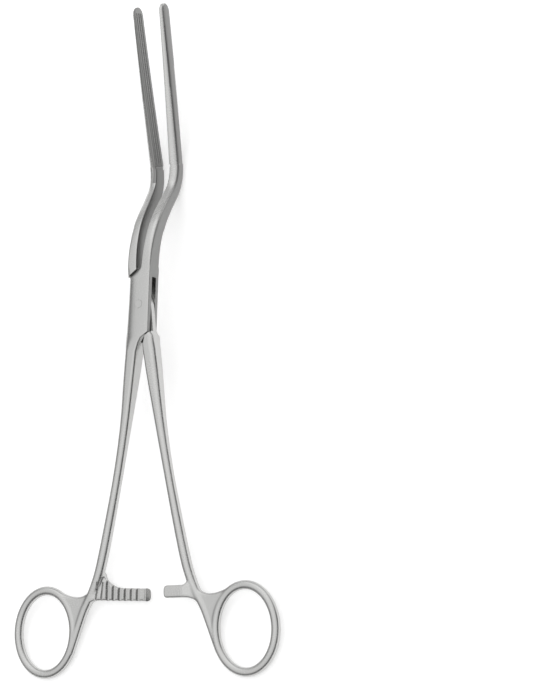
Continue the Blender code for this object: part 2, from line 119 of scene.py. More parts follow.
def mathNode(tree, operation, first, second):
    node = tree.nodes.new("ShaderNodeMath")
    node.operation = operation
    plug(tree, node.inputs[0], first)
    plug(tree, node.inputs[1], second)
    return node.outputs[0]


def rangeNode(tree, value, start, end, low, high, easing="LINEAR"):
    node = tree.nodes.new("ShaderNodeMapRange")
    node.interpolation_type = easing
    plug(tree, node.inputs["Value"], value)
    plug(tree, node.inputs["From Min"], start)
    plug(tree, node.inputs["From Max"], end)
    plug(tree, node.inputs["To Min"], low)
    plug(tree, node.inputs["To Max"], high)
    return node.outputs["Result"]


def makeCamera():
    deselectAll()
    bpy.ops.object.camera_add(location=camera["place"])
    viewer = bpy.context.object
    viewer.name = "viewCamera"
    turn = Matrix([camera["right"], camera["up"], camera["back"]]).transposed()
    viewer.rotation_euler = turn.to_euler()
    viewer.data.sensor_fit = "HORIZONTAL"
    viewer.data.sensor_width = camera["sensor"]
    viewer.data.lens = camera["lens"]
    viewer.data.clip_start = camera["nearest"]
    bpy.context.scene.camera = viewer


def makeTable():
    deselectAll()
    bpy.ops.mesh.primitive_plane_add(size=studio["tableSize"])
    table = bpy.context.object
    table.name = "tableTop"
    paint = bpy.data.materials.new("tablePaint")
    paint.use_nodes = True
    tree = paint.node_tree
    nodes, link = tree.nodes, tree.links.new
    nodes.clear()
    out = nodes.new("ShaderNodeOutputMaterial")
    matt = nodes.new("ShaderNodeBsdfDiffuse")
    matt.inputs["Color"].default_value = studio["tableColour"]
    glow = nodes.new("ShaderNodeEmission")
    rays = nodes.new("ShaderNodeLightPath").outputs
    seen = mathNode(tree, "MAXIMUM", rays["Is Camera Ray"], rays["Is Glossy Ray"])
    seen = mathNode(tree, "MAXIMUM", seen, rays["Is Transmission Ray"])
    link(mathNode(tree, "MULTIPLY", seen, studio["tableLift"]), glow.inputs["Strength"])
    both = nodes.new("ShaderNodeAddShader")
    link(matt.outputs[0], both.inputs[0])
    link(glow.outputs[0], both.inputs[1])
    link(both.outputs[0], out.inputs["Surface"])
    table.data.materials.append(paint)


def makeRoom():
    world = bpy.data.worlds.new("studioRoom")
    bpy.context.scene.world = world
    world.use_nodes = True
    tree = world.node_tree
    nodes, link = tree.nodes, tree.links.new
    nodes.clear()
    out = nodes.new("ShaderNodeOutputWorld")
    walls = nodes.new("ShaderNodeBackground")
    place = nodes.new("ShaderNodeTexCoord").outputs["Generated"]
    parts = nodes.new("ShaderNodeSeparateXYZ")
    toLight = nodes.new("ShaderNodeVectorMath")
    toLight.operation = "DOT_PRODUCT"
    toLight.inputs[1].default_value = Vector(room["lightSide"]).normalized()
    link(place, parts.inputs[0])
    link(place, toLight.inputs[0])
    span = room["sideSpan"]
    side = rangeNode(tree, parts.outputs["X"], -span, span, room["left"], room["right"])
    rise = rangeNode(tree, toLight.outputs["Value"], room["dimAt"], room["brightAt"], side, room["bright"],
                     "SMOOTHSTEP")
    far = rangeNode(tree, parts.outputs["Y"], room["windowFrom"], room["windowTo"], 0.0, room["window"],
                    "SMOOTHSTEP")
    link(mathNode(tree, "ADD", rise, far), walls.inputs["Strength"])
    link(walls.outputs[0], out.inputs["Surface"])


def makeSoftbox():
    deselectAll()
    bpy.ops.object.light_add(type="AREA", location=studio["softboxPlace"])
    box = bpy.context.object
    box.name = "softbox"
    box.data.shape = "DISK"
    box.data.size = studio["softboxSize"]
    box.data.energy = studio["softboxPower"]
    aim = Vector((0, 0, 0)) - Vector(studio["softboxPlace"])
    box.rotation_euler = aim.to_track_quat("-Z", "Y").to_euler()


# Steel: its lightest and darkest tint, its roughness, and how much darker (painted shade) and rougher the
# matt, shaded sides are
steel = {
    "light": (0.60, 0.60, 0.59),
    "dark": (0.52, 0.52, 0.515),
    "smooth": 0.21,
    "rough": 0.31,
    # The sides' tint at this share is painted shade; the extra roughness below is a real matt finish
    "paintedShade": 0.5,
    "mattRougher": 0.12,
    "grain": 0.25 * mm,
    "grainDetail": 3.0,
    "smudge": 14.0 * mm,
    "smudgeDetail": 4.0,
    "patchLow": 0.12,
    "patchHigh": 0.40,
    "bumpStrength": 0.12,
    "bumpHeight": 0.02 * mm,
    "softEdge": 0.15 * mm,
}


def noiseNode(tree, place, size, detail):
    noise = tree.nodes.new("ShaderNodeTexNoise")
    noise.inputs["Scale"].default_value = 1 / size
    noise.inputs["Detail"].default_value = detail
    tree.links.new(place, noise.inputs["Vector"])
    return noise.outputs["Fac"]


def satinSteel(name, shade=1.0, rougher=0.0):
    metal = bpy.data.materials.new(name)
    metal.use_nodes = True
    tree = metal.node_tree
    nodes, link = tree.nodes, tree.links.new
    shader = nodes["Principled BSDF"]
    shader.inputs["Metallic"].default_value = 1.0
    place = nodes.new("ShaderNodeTexCoord").outputs["Object"]
    grain = noiseNode(tree, place, steel["grain"], steel["grainDetail"])
    smudge = noiseNode(tree, place, steel["smudge"], steel["smudgeDetail"])
    tint = nodes.new("ShaderNodeMix")
    tint.data_type = "RGBA"
    tint.inputs[6].default_value = [shade * level for level in steel["dark"]] + [1.0]
    tint.inputs[7].default_value = [shade * level for level in steel["light"]] + [1.0]
    link(smudge, tint.inputs[0])
    link(tint.outputs[2], shader.inputs["Base Color"])
    patches = mathNode(tree, "MULTIPLY", grain, smudge)
    rough = rangeNode(tree, patches, steel["patchLow"], steel["patchHigh"],
                      steel["smooth"] + rougher, steel["rough"] + rougher)
    link(rough, shader.inputs["Roughness"])
    soft = nodes.new("ShaderNodeBevel")
    soft.samples = 4
    soft.inputs["Radius"].default_value = steel["softEdge"]
    bump = nodes.new("ShaderNodeBump")
    bump.inputs["Strength"].default_value = steel["bumpStrength"]
    bump.inputs["Distance"].default_value = steel["bumpHeight"]
    link(grain, bump.inputs["Height"])
    link(soft.outputs[0], bump.inputs["Normal"])
    link(bump.outputs[0], shader.inputs["Normal"])
    return metal


# A station is one rounded cross section: its middle, its two sides, half its depth and its corner radii
def station(centre, low, high, depth, lowRound, highRound, swing=0.0, pitch=0.0):
    limit = 0.98 * min((high - low) / 2, depth)
    lowRound = lowRound if isinstance(lowRound, tuple) else (min(lowRound, limit),) * 2
    highRound = highRound if isinstance(highRound, tuple) else (min(highRound, limit),) * 2
    return {
        "centre": Vector(centre) * mm, "low": low * mm, "high": high * mm, "depth": depth * mm,
        "lowRound": [r * mm for r in lowRound], "highRound": [r * mm for r in highRound],
        "swing": swing, "pitch": pitch,
    }


def directions(spot):
    across = Matrix.Rotation(spot["swing"], 3, "Z") @ sideways
    upright = Matrix.Rotation(spot["pitch"], 3, "X") @ upward
    return across, upright


def cornerArc(spot, side, up):
    across, upright = directions(spot)
    edge, reach = (spot["high"], spot["highRound"]) if side > 0 else (spot["low"], spot["lowRound"])
    arc = spot["centre"] + across * (edge - side * reach[0]) + upright * up * (spot["depth"] - reach[1])
    return arc, reach


# Each corner of the selected end is resized about its own arc and moved to where the new station has it
def reshapeEnd(piece, now, spot):
    shape = bmesh.from_edit_mesh(piece.data)
    across, upright = directions(spot)
    middle = (now["low"] + now["lowRound"][0] + now["high"] - now["highRound"][0]) / 2
    end = []
    for vertex in shape.verts:
        if vertex.select:
            gap = vertex.co - now["centre"]
            end.append((vertex, gap.dot(across) > middle, gap.dot(upright) > 0))
    for side in (1, -1):
        for up in (1, -1):
            for vertex, isHigh, isFront in end:
                vertex.select = isHigh == (side > 0) and isFront == (up > 0)
            shape.select_flush_mode()
            old, oldReach = cornerArc(now, side, up)
            new, newReach = cornerArc(spot, side, up)
            growAcross, growUp = newReach[0] / oldReach[0], newReach[1] / oldReach[1]
            grow = (growAcross, growUp, growUp) if spot["pitch"] else (growAcross, growAcross, growUp)
            bpy.ops.transform.resize(value=grow, center_override=old)
            bpy.ops.transform.translate(value=new - old)
    for vertex, isHigh, isFront in end:
        vertex.select = True
    shape.select_flush_mode()


bar = {"cornerSegments": 7, "firstRound": 0.9, "leastTurn": 1e-7}


# A bar that starts as a plane with bevelled corners and is extruded from station to station
def extrudeAlong(name, spots):
    deselectAll()
    first = spots[0]
    tilt = math.pi / 2 + first["pitch"]
    bpy.ops.mesh.primitive_plane_add(size=1, rotation=(tilt, 0, first["swing"]))
    piece = bpy.context.object
    piece.name = name
    middle = (first["low"] + first["high"]) / 2
    piece.location = first["centre"] + directions(first)[0] * middle
    piece.scale = (first["high"] - first["low"], 2 * first["depth"], 1)
    applyPlace(piece)
    editPiece(piece, "VERT", "SELECT")
    reach = bar["firstRound"] * min(first["depth"], (first["high"] - first["low"]) / 2)
    bpy.ops.mesh.bevel(offset_type="OFFSET", offset=reach, segments=bar["cornerSegments"], affect="VERTICES")
    reshapeEnd(piece, dict(first, lowRound=[reach, reach], highRound=[reach, reach]), first)
    for before, spot in zip(spots, spots[1:]):
        bpy.ops.mesh.extrude_region_move(TRANSFORM_OT_translate={"value": spot["centre"] - before["centre"]})
        for axis, turn in (("Z", spot["swing"] - before["swing"]), ("X", spot["pitch"] - before["pitch"])):
            if abs(turn) > bar["leastTurn"]:
                bpy.ops.transform.rotate(value=-turn, orient_axis=axis, center_override=spot["centre"])
        now = dict(before, centre=spot["centre"], swing=spot["swing"], pitch=spot["pitch"])
        reshapeEnd(piece, now, spot)
    closeFacingOut()
    return piece


def spread(first, last, count):
    return [first + (last - first) * i / count for i in range(count + 1)]


# Values between rows that start with their place: in straight lines, or along a smooth curve
def straight(rows, at):
    start, end = next((pair for pair in zip(rows, rows[1:]) if at <= pair[1][0]), rows[-2:])
    share = (at - start[0]) / (end[0] - start[0])
    return [a + (b - a) * share for a, b in zip(start, end)][1:]


def smooth(rows, at):
    last = len(rows) - 2
    place = next((i for i in range(last) if at < rows[i + 1][0]), last)
    start, end = rows[place], rows[place + 1]
    before, after = rows[max(place - 1, 0)], rows[min(place + 2, len(rows) - 1)]
    span = end[0] - start[0]
    t = (at - start[0]) / span
    found = []
    for i in range(1, len(start)):
        slopeIn = (end[i] - before[i]) / (end[0] - before[0]) * span
        slopeOut = (after[i] - start[i]) / (after[0] - start[0]) * span
        found.append((2 * t**3 - 3 * t**2 + 1) * start[i] + (t**3 - 2 * t**2 + t) * slopeIn
                     + (3 * t**2 - 2 * t**3) * end[i] + (t**3 - t**2) * slopeOut)
    return found


# Shank: distance behind the pin and from the middle, half width, half depth, outer and inner corner radius
shank = {
    "rows": (
        (17.7, 3.43, 2.70, 3.25, 2.30, 0.90),
        (26.8, 4.20, 2.60, 3.00, 2.30, 1.20),
        (45.0, 5.83, 2.12, 2.25, 2.07, 1.65),
        (63.0, 8.16, 1.90, 1.92, 1.86, 1.80),
        (81.4, 11.20, 1.98, 1.98, 1.93, 1.93),
        (97.0, 14.15, 2.08, 2.08, 2.03, 2.03),
        (103.5, 15.90, 2.02, 2.02, 1.97, 1.97),
        (109.5, 18.35, 1.88, 1.90, 1.83, 1.83),
        (114.6, 21.10, 1.80, 1.80, 1.75, 1.75),
        (120.5, 23.30, 1.75, 1.75, 1.70, 1.70),
        (131.5, 27.00, 1.60, 1.60, 1.55, 1.55),
    ),
    "step": 2.4,
    "headingStep": 0.1,
    "lockEnd": 17.7,
    "joint": 88.0,
    "jointGap": 0.7,
}


def shankOut(back):
    return smooth(shank["rows"], back)[0]


def shankStation(back):
    out, halfWidth, halfDepth, outer, inner = smooth(shank["rows"], back)
    swing = -math.atan2(out - shankOut(back - shank["headingStep"]), shank["headingStep"])
    return station((-out, -back, 0), -halfWidth, halfWidth, halfDepth, outer, inner, swing=swing)


def shankStations(first, last):
    return [shankStation(back) for back in spread(first, last, round((first - last) / shank["step"]))]


lock = {
    "width": 8.9,
    "thickness": 6.7,
    "edge": 0.45,
    "roll": 2.3,
    "sideGap": 0.35,
    "shoulderReach": 13.5,
    "shoulderSlant": 33.3,
    "shoulderGap": 0.18,
    "tongueThickness": 2.2,
    "recessTop": 14.0,
    "slotClearance": 0.3,
    "slotReach": 14.1,
    "slotSlant": 40.0,
    "boxBore": 2.92,
    "tongueBore": 3.24,
    "boreDepth": 16.0,
    "borePoints": 96,
    "tail": 2.0,
    "tailEdge": 0.6,
    "stemStep": 0.1,
    # Box: its inner side at the shank, and from shank to stem how far its outer side stands out past
    # the width, with its corner across and up in shares of the roll
    "boxFoot": 1.45,
    "boxFootTaper": 1.15,
    "boxRim": ((2.0, 1.8, 1.1), (2.0, 2.6, 1.1), (1.55, 2.5, 0.95), (0.65, 2.1, 0.62), (0.3, 1.8, 0.42)),
    # Tongue: how far its outer side stands out at the tail, the shoulder and the neck, its inner side
    # there in side gaps, and the run and step of its neck in shares of the width
    "tongueSideGap": 0.25,
    "tongueOut": (1.4, 1.15, 0.2),
    "tongueInner": (2.4, 5.2),
    "tongueLead": 0.8,
    "neckRun": 0.5843,
    "neckStep": 0.4494,
    "neckRoll": 0.85,
    "crossing": 0.5,
    "crossingStep": 0.15,
    "milledCorner": (1.6, 0.8),
}


def flatStation(y, low, high, edge=lock["edge"], outer=lock["edge"]):
    return station((0, y, 0), low, high, lock["thickness"] / 2, outer, edge)


def shoulder(x, side):
    return side * lock["shoulderReach"] + x * math.tan(math.radians(lock["shoulderSlant"]))


def boxStations():
    half, gap, edge, roll = lock["width"] / 2, lock["sideGap"], lock["edge"], lock["roll"]
    foot = lock["boxFoot"]
    end = shoulder(foot, -1)
    corner = -half - lock["boxRim"][-1][0]
    sides = (
        (end - lock["tail"], foot - lock["boxFootTaper"], lock["tailEdge"]),
        (end, foot, edge),
        (shoulder(half, -1), half, edge),
        (0, half, edge),
        (shoulder(corner, 1), half, edge),
    )
    made = []
    for (y, inner, innerEdge), (out, across, up) in zip(sides, lock["boxRim"]):
        made.append(flatStation(y, -half - out, inner, innerEdge, (across * roll, up * roll)))
    made.append(flatStation(shoulder(gap, 1), gap, half + lock["stemStep"]))
    return made


def tongueStations():
    full, gap, edge, roll = lock["width"] / 2, lock["sideGap"], lock["edge"], lock["roll"]
    half = full - lock["tongueSideGap"]
    lowEnd, highEnd = shoulder(gap, -1), shoulder(gap, 1)
    run, step = lock["neckRun"] * lock["width"], lock["neckStep"] * lock["width"]
    tailOut, shoulderOut, neckOut = lock["tongueOut"]
    tailIn, shoulderIn = lock["tongueInner"]
    return [
        flatStation(lowEnd - lock["tail"], -full - tailOut, -tailIn * gap, lock["tailEdge"], roll),
        flatStation(lowEnd + lock["tongueLead"], -full - shoulderOut, -shoulderIn * gap, edge, roll),
        flatStation(shoulder(-half, -1) + run, -full - neckOut, half - step, edge, lock["neckRoll"] * roll),
        flatStation(-lock["crossing"], -half, half - lock["crossingStep"]),
        flatStation(lock["crossing"], -half + lock["crossingStep"], half),
        flatStation(shoulder(half, 1) - run, step - half, full, lock["milledCorner"]),
        flatStation(highEnd, gap, full + lock["stemStep"], lock["milledCorner"]),
    ]


# Stem: two bends with a straight between them, and its outer corner radius at the lock, at the end of
# the milled corner, just past it, at the start of the elbow and at the jaw
stem = {
    "start": 12.2,
    "lead": 2.8,
    "lowerRadius": 41.0,
    "upperRadius": 16.0,
    "slope": 35.9,
    "straight": 10.2,
    "width": 4.05,
    "faceStep": 0.15,
    "innerEdge": 0.5,
    "elbowFrom": 0.6,
    "elbowWidth": 3.85,
    "elbowDepth": 2.95,
    "millEnd": 0.36,
    "millRun": 0.02,
    "millSteps": 8,
    "barSteps": 18,
    "corners": (0.5, 1.9, 1.7, 2.1, 2.5),
}

# Jaw: its outer corner in shares of the width and of the depth, the recess at its root as offset and
# depth of each station, and the angles that round its tip
jaw = {
    "tilt": 10.5,
    "length": 62.0,
    "baseWidth": 3.8,
    "tipWidth": 1.85,
    "halfDepth": 3.0,
    "gapBase": 0.5,
    "gapTip": 0.22,
    "bow": 0.2,
    "edge": 0.3,
    "roundAcross": 0.84,
    "roundUp": 2.8,
    "steps": 14,
    "recessDepth": 0.35,
    "recessLength": 1.0,
    "recessStations": ((-1.3, 0), (-1.15, 1), (-0.15, 1)),
    "tipAngles": (18, 34, 48, 60, 70, 79),
    "tipFlat": 0.45,
    "tipTaper": 0.55,
    "tipRoundUp": 0.92,
}
slope, tipTilt = math.radians(stem["slope"]), math.radians(jaw["tilt"])
lowerBend = stem["lowerRadius"] * slope
stemLength = lowerBend + stem["straight"] + stem["upperRadius"] * (slope + tipTilt)


# How far forward and how high the middle of stem and jaw is at a length along them, and its heading
def stemPlace(s):
    lower, upper = stem["lowerRadius"], stem["upperRadius"]
    if s <= lowerBend:
        turn = max(s, 0) / lower
        return stem["start"] + lower * math.sin(turn) + min(s, 0), -lower * (1 - math.cos(turn)), -turn
    run = min(s - lowerBend, stem["straight"])
    y = stem["start"] + lower * math.sin(slope) + run * math.cos(slope)
    z = -lower * (1 - math.cos(slope)) - run * math.sin(slope)
    if s <= lowerBend + stem["straight"]:
        return y, z, -slope
    heading = min((s - lowerBend - stem["straight"]) / upper - slope, tipTilt)
    y += upper * (math.sin(heading) + math.sin(slope))
    z += upper * (math.cos(slope) - math.cos(heading))
    run = max(s - stemLength, 0)
    return y + run * math.cos(tipTilt), z + run * math.sin(tipTilt), heading


def biteGap(s):
    share = min(max((s - stemLength) / jaw["length"], 0), 1)
    return jaw["gapBase"] + (jaw["gapTip"] - jaw["gapBase"]) * share + 4 * jaw["bow"] * share * (1 - share)


def stemStation(s, low, high, depth, lowRound, highRound):
    y, z, heading = stemPlace(s)
    return station((0, y, z), low, high, depth, lowRound, highRound, pitch=heading)


def stemStations():
    gap, half, full = lock["sideGap"], lock["width"] / 2, lock["thickness"] / 2
    plain = full - stem["faceStep"]
    width, depth = stem["elbowWidth"], stem["elbowDepth"]
    millEnd = stem["millEnd"] * stemLength
    barStart = millEnd + stem["millRun"] * stemLength
    sizes = (
        (0.0, gap, half - gap, full),
        (millEnd, gap, stem["width"], plain),
        (barStart, gap, stem["width"], plain),
        (stem["elbowFrom"] * stemLength, gap, width, depth),
        (stemLength, jaw["gapBase"], width, depth),
    )
    rows = [(*size, corner) for size, corner in zip(sizes, stem["corners"])]
    places = spread(stem["lead"], millEnd, stem["millSteps"])
    places += spread(barStart, stemLength - 2 * jaw["recessLength"], stem["barSteps"])
    made = []
    for s in places:
        low, wide, deep, corner = straight(rows, s)
        made.append(stemStation(s, low, low + wide, deep, stem["innerEdge"], (corner, corner)))
    corner = stem["corners"][-1]
    for offset, recess in jaw["recessStations"]:
        s = stemLength + offset * jaw["recessLength"]
        low = jaw["gapBase"] + recess * jaw["recessDepth"]
        made.append(stemStation(s, low, jaw["gapBase"] + width, depth, jaw["edge"], (corner, corner)))
    return made


def jawStation(s, width, depth, roundUp):
    low = biteGap(s)
    return stemStation(s, low, low + width, depth, jaw["edge"], (jaw["roundAcross"] * width, roundUp))


def jawStations():
    deep, length, steps = jaw["halfDepth"], jaw["length"], jaw["steps"]
    made = []
    for i in range(steps + 1):
        share = i / steps * (1 - deep / length)
        width = jaw["baseWidth"] + (jaw["tipWidth"] - jaw["baseWidth"]) * share
        made.append(jawStation(stemLength + share * length, width, deep, jaw["roundUp"]))
    for degrees in jaw["tipAngles"]:
        swing = math.radians(degrees)
        s = stemLength + length - deep * (1 - math.sin(swing))
        width = jaw["tipWidth"] * (jaw["tipFlat"] + jaw["tipTaper"] * math.cos(swing))
        made.append(jawStation(s, width, deep * math.cos(swing), jaw["tipRoundUp"] * deep * math.cos(swing)))
    return made


ring = {
    "back": 123.9,
    "nearSide": 25.8,
    "halfWidth": 12.65,
    "halfLength": 15.75,
    "band": 3.6,
    "bandSegments": 8,
    "points": 96,
}
ringOut = ring["nearSide"] + ring["halfWidth"]


def makeRing():
    deselectAll()
    place = (-ringOut * mm, -ring["back"] * mm, 0)
    bpy.ops.mesh.primitive_circle_add(vertices=ring["points"], radius=1, location=place)
    band = bpy.context.object
    band.name = "ringBand"
    band.scale = (ring["halfWidth"] * mm, ring["halfLength"] * mm, 1)
    applyPlace(band)
    bpy.ops.object.convert(target="CURVE")
    band = bpy.context.object
    band.data.bevel_depth = ring["band"] / 2 * mm
    band.data.bevel_resolution = ring["bandSegments"]
    bpy.ops.object.convert(target="MESH")
    return bpy.context.object


# The web runs from the shank's side to the top of the ring, with a hollow rim between them. Its rim
# leaves the shank and reaches the ring by the two handles, and its foot lies on shank and ring
web = {
    "thickness": 2.9,
    "footEdge": 0.5,
    "rimEdge": 1.2,
    "sag": 6.0,
    "start": 99.5,
    "startOut": 1.7,
    "startHandle": (1.3, 2.3),
    "endIn": 0.27,
    "endUp": 1.06,
    "endHandle": (0.457, 0.65),
    "firstShare": 0.04,
    "steps": 16,
    "pastRing": 2.0,
    "leastDepth": 1.0,
    "footTries": (95.0, 130.5, 71),
}


def webStations():
    startOut = shankOut(web["start"]) + web["startOut"]
    endOut = ringOut - web["endIn"] * ring["halfWidth"]
    endBack = ring["back"] - web["endUp"] * ring["halfLength"]
    leave, arrive = web["startHandle"], web["endHandle"]
    corners = (
        Vector((startOut, web["start"])),
        Vector((startOut + leave[0], web["start"] + leave[1] * web["sag"])),
        Vector((endOut + arrive[0] * (startOut - endOut), endBack + arrive[1] * web["sag"])),
        Vector((endOut, endBack)),
    )
    made = []
    for t in spread(web["firstShare"], 1.0, web["steps"]):
        rim = ((1 - t)**3 * corners[0] + 3 * t * (1 - t)**2 * corners[1]
               + 3 * t**2 * (1 - t) * corners[2] + t**3 * corners[3])
        reach = max(1 - ((rim.x - ringOut) / ring["halfWidth"])**2, 0)
        foot = ring["back"] - ring["halfLength"] * math.sqrt(reach)
        if rim.x < ring["nearSide"] + web["pastRing"]:
            shankBack = min((abs(shankOut(back) - rim.x), back) for back in spread(*web["footTries"]))[1]
            foot = min(foot, shankBack)
        foot = max(foot, rim.y + web["leastDepth"])
        half = (foot - rim.y) / 2
        made.append(station((-rim.x, -(foot + rim.y) / 2, 0), -half, half, web["thickness"] / 2,
                            web["footEdge"], web["rimEdge"], swing=math.pi / 2))
    return made


def useModifier(piece, kind, **values):
    pick(piece)
    change = piece.modifiers.new(kind.lower(), kind)
    for name, value in values.items():
        setattr(change, name, value)
    bpy.ops.object.modifier_apply(modifier=change.name)


def joinPieces(piece, *others):
    pick(piece, *others)
    bpy.ops.object.join()
    return piece


# Handle: where the part of the shank that belongs to it runs, and the patch round the web, behind the
# pin and outwards, that is smoothed more than the rest
handle = {
    "end": 131.5,
    "start": 84.0,
    "voxel": 0.26 * mm,
    "smoothing": 0.5,
    "passes": 6,
    "webPasses": 20,
    "webBack": (98, 122),
    "webOut": (13, 36),
    "webFade": 4,
}


# End of the shank, web, ring and ratchet arm, melted into one skin as a forging has it
def makeHandle(plan):
    grip = extrudeAlong("handle", shankStations(handle["end"], handle["start"]))
    joinPieces(grip, extrudeAlong("web", webStations()), makeRing(), makeArmPlate(plan))
    useModifier(grip, "REMESH", mode="VOXEL", voxel_size=handle["voxel"])
    near = grip.vertex_groups.new(name="webBlend")
    (nearBack, farBack), (nearOut, farOut) = handle["webBack"], handle["webOut"]
    for vertex in grip.data.vertices:
        out, back = -vertex.co.x / mm, -vertex.co.y / mm
        past = max(nearBack - back, 0, back - farBack, out - farOut, nearOut - out)
        near.add([vertex.index], min(max(1 - past / handle["webFade"], 0.0), 1.0), "REPLACE")
    useModifier(grip, "SMOOTH", factor=handle["smoothing"], iterations=handle["passes"])
    useModifier(grip, "SMOOTH", factor=handle["smoothing"], iterations=handle["webPasses"],
                vertex_group="webBlend")
    joint = shankStation(shank["joint"] + shank["jointGap"])
    editPiece(grip, "VERT", "SELECT")
    along = Matrix.Rotation(joint["swing"], 3, "Z") @ Vector((0, 1, 0))
    bpy.ops.mesh.bisect(plane_co=joint["centre"], plane_no=along, clear_outer=True, use_fill=False)
    bpy.ops.object.mode_set(mode="OBJECT")
    return grip


def openJoint(front):
    editPiece(front, "FACE", "DESELECT")
    shape = bmesh.from_edit_mesh(front.data)
    cap = min(shape.faces, key=lambda face: face.calc_center_median().y)
    cap.select = True
    bpy.ops.mesh.delete(type="ONLY_FACE")
    bpy.ops.object.mode_set(mode="OBJECT")


def bridgeJoint(front):
    editPiece(front, "EDGE", "DESELECT")
    bpy.ops.mesh.select_non_manifold(use_wire=False, use_multi_face=False, use_non_contiguous=False,
                                     use_verts=False)
    bpy.ops.mesh.bridge_edge_loops()
    closeFacingOut()


# A slab across the lock, within reach of the pin, whose two ends are slid along to slant it
def slantedBand(name, reach, slant, low, high):
    deselectAll()
    wide = 4 * lock["width"] * mm
    bpy.ops.mesh.primitive_cube_add(size=1, location=(0, 0, (low + high) / 2 * mm))
    band = bpy.context.object
    band.name = name
    band.scale = (2 * wide, 2 * reach * mm, (high - low) * mm)
    applyPlace(band)
    rise = wide * math.tan(math.radians(slant))
    for side in (1, -1):
        editPiece(band, "VERT", "DESELECT")
        shape = bmesh.from_edit_mesh(band.data)
        for vertex in shape.verts:
            vertex.select = vertex.co.x * side > 0
        shape.select_flush_mode()
        bpy.ops.transform.translate(value=(0, side * rise, 0))
    bpy.ops.object.mode_set(mode="OBJECT")
    return band


def makeBore(diameter):
    deselectAll()
    bpy.ops.mesh.primitive_cylinder_add(vertices=lock["borePoints"], radius=diameter / 2 * mm,
                                        depth=lock["boreDepth"] * mm)
    return bpy.context.object


def carve(piece, tool):
    useModifier(piece, "BOOLEAN", operation="DIFFERENCE", object=tool, solver="EXACT")
    bpy.data.objects.remove(tool)


# Ratchet arms, with a root that is sunk in the shank, rises out of it and blends to the plate
arm = {
    "back": 109.0,
    "height": 4.9,
    "depth": 2.5,
    "edge": 1.0,
    "clear": 0.15,
    "corner": 1.3,
    "sunk": 0.35,
    "rootPast": 1.1,
    "rootHalf": 0.3,
    "rootDepth": 1.65,
    "blendFrom": 0.5,
    "blend": 4.5,
    "step": 0.6,
    "steps": 42,
    "tipLead": 0.2,
    "tipAngles": (0, 22, 42, 60, 74, 84),
    "bevel": 0.45,
    "bevelSlope": 0.8,
}

# Tip measured from the middle of the closed clamp, root fillets below and above as reach and rise, the
# side that has the teeth, and the lean and bottom of the grooves that fan out at the root
longArm = {"tip": 6.9, "teeth": 7, "slant": 2.0, "fillets": ((5.5, 4.5), (9.5, 6.0)), "face": -1,
           "fan": ((-5, -0.55), (-11, 0.35))}
shortArm = {"tip": -5.2, "teeth": 3, "slant": 0.0, "fillets": ((6.5, 5.5), (2.0, 1.6)), "face": 1,
            "fan": ()}


def armEdge(x, tip, reach, rise, side):
    edge = -arm["back"] + side * arm["height"] / 2
    out, halfWidth = smooth(shank["rows"], -(edge + side * rise))[:2]
    start = halfWidth - out - arm["sunk"]
    root = -shankOut(arm["back"]) - arm["rootPast"]
    if x < start:
        share = max((x - root) / (start - root), 0)
        rootHalf = arm["rootHalf"]
        return -arm["back"] + side * rootHalf + (edge + side * (rise - rootHalf) + arm["back"]) * share
    if x < start + reach:
        share = min(max((start + reach - x) / reach, 0), 1)
        return edge + side * rise * (1 - math.sqrt(max(1 - share**2, 0)))
    if x > tip - arm["corner"]:
        share = min((x - tip + arm["corner"]) / arm["corner"], 1)
        return edge - side * arm["corner"] * (1 - math.sqrt(max(1 - share**2, 0)))
    return edge


def armStations(plan):
    tip, (lower, upper) = plan["tip"], plan["fillets"]
    root = -shankOut(arm["back"])
    places = [root - arm["step"] + arm["step"] * i for i in range(arm["steps"])]
    places = [x for x in places if x < tip - arm["corner"] - arm["tipLead"]]
    places += [tip - arm["corner"] * (1 - math.sin(math.radians(angle))) for angle in arm["tipAngles"]]
    made = []
    for x in places:
        low, high = armEdge(x, tip, *lower, -1), armEdge(x, tip, *upper, 1)
        share = min(max((x - root - arm["blendFrom"]) / arm["blend"], 0), 1)
        share = share * share * (3 - 2 * share)
        half = (high - low) / 2
        depth = arm["depth"] / 2 - arm["bevelSlope"] * max(0.0, arm["bevel"] - tip + x)
        depth = arm["rootDepth"] + (depth - arm["rootDepth"]) * share
        z = plan["face"] * share * (arm["clear"] + arm["depth"] / 2)
        made.append(station((x, (high + low) / 2, z), -half, half, depth, arm["edge"], arm["edge"],
                            swing=math.pi / 2))
    return made


def armTurn(plan):
    root = Vector((-shankOut(arm["back"]) * mm, -arm["back"] * mm, 0))
    turn = Matrix.Rotation(math.radians(lying["halfOpen"] - plan["slant"]), 4, "Z")
    return Matrix.Translation(root) @ turn @ Matrix.Translation(-root)


def makeArmPlate(plan):
    plate = extrudeAlong("armPlate", armStations(plan))
    plate.matrix_world = armTurn(plan)
    applyPlace(plate)
    return plate


# Teeth: a groove's share of the pitch, how far its flank slides to the tip and how little to the root,
# the ramp and nose at the tip, and how far the tools reach across the arm, at least and at most
teeth = {
    "pitch": 2.7,
    "depth": 0.85,
    "grooveShare": 0.62,
    "slide": 0.5,
    "steep": 0.1,
    "plainTip": 2.9,
    "toolTop": 1.6,
    "toolPast": 1.0,
    "rampDepth": 0.25,
    "rampRun": 0.35,
    "noseDepth": 2.6,
    "noseRun": (0.1, 2.1),
    "reach": (4.0, 5.4),
    "reachFrom": 3.6,
    "reachSlope": 0.8,
}

# The fan's grooves: where the first one is and how far apart they are, in pitches, and their shape
fan = {
    "first": 0.45,
    "spacing": 0.62,
    "left": 0.25,
    "right": 0.05,
    "widen": 0.36,
    "toolTop": 2.6,
    "reach": 4.6,
}


